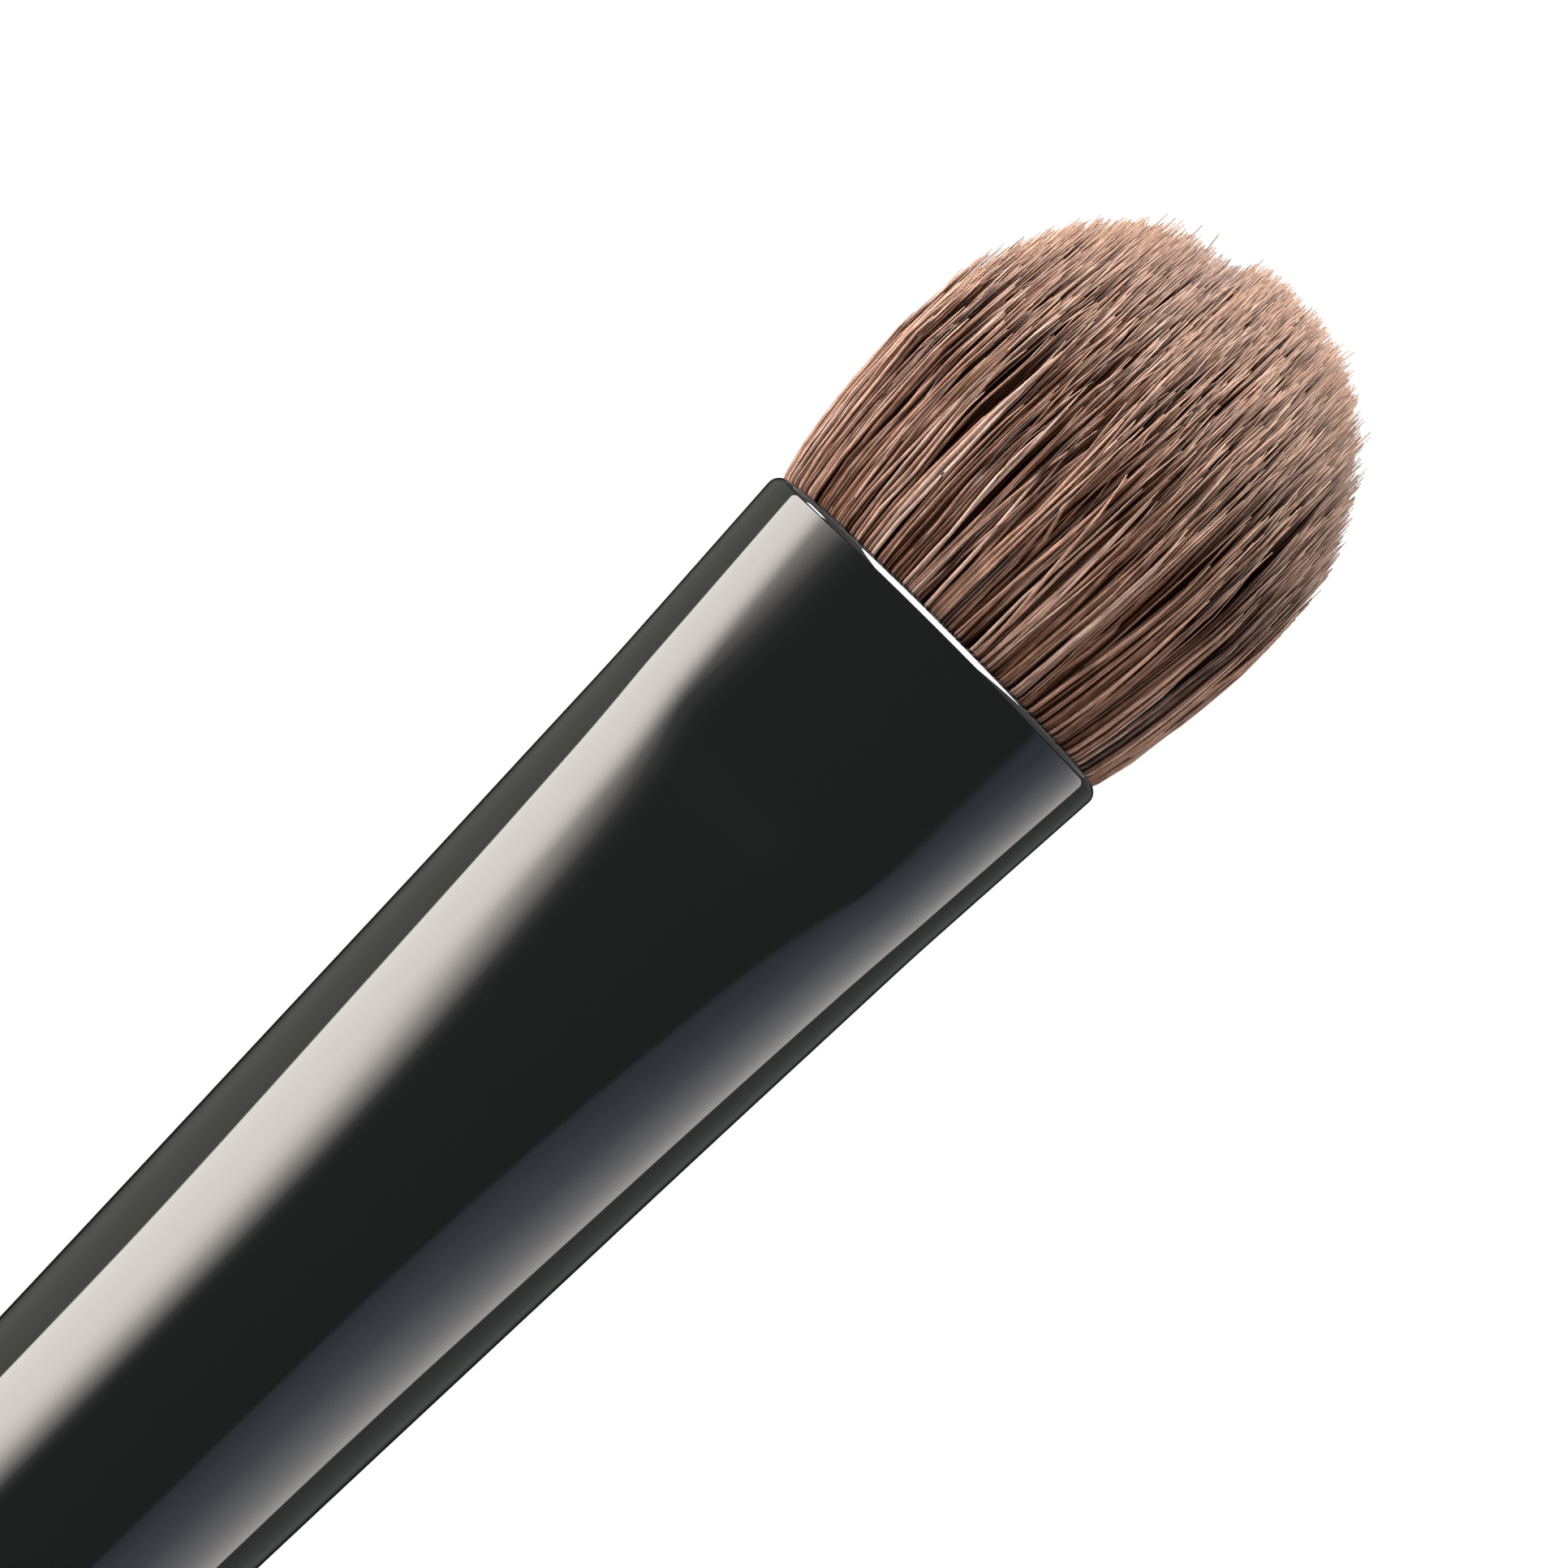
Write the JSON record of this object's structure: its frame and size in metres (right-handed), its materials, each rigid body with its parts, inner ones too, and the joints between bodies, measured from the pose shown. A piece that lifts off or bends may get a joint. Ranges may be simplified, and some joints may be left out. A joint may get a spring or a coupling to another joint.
{
  "type": "eyeshadow brush",
  "caption": "Eyeshadow brush with a domed brown hair tuft in a flattened gloss black ferrule, crimped on a slim turned handle.",
  "frame": {"origin": "on the brush's axis, at the middle of the plain stretch of the ferrule's barrel", "axes": "+Z along the brush towards the tip of the tuft, X across the wide face of the flattened mouth, Y through its thickness"},
  "size_m": [0.012, 0.009, 0.165],
  "materials": {
    "handle_lacquer": "turned hardwood under a black gloss lacquer",
    "ferrule_lacquer": "drawn aluminium tube under a black gloss lacquer",
    "hair": "natural brown hair, satin",
    "thread": "waxed cotton thread",
    "epoxy": "cast amber epoxy"
  },
  "bodies": {
    "brush": {"handle": "handle_lacquer", "ferrule": "ferrule_lacquer", "hair_roots": "hair", "binding_thread": "thread", "glue_plug": "epoxy"},
    "tuft": {"hair_tuft": "hair"}
  },
  "joints": [
    {"name": "tuft_flex", "type": "hinge", "parent": "brush", "child": "tuft", "pos_m": [0, 0, 0.036], "axis": [1, 0, 0], "range_deg": [-35, 35], "stiffness_Nm_per_rad": 0.004, "deforming": ["hair_tuft"]}
  ]
}
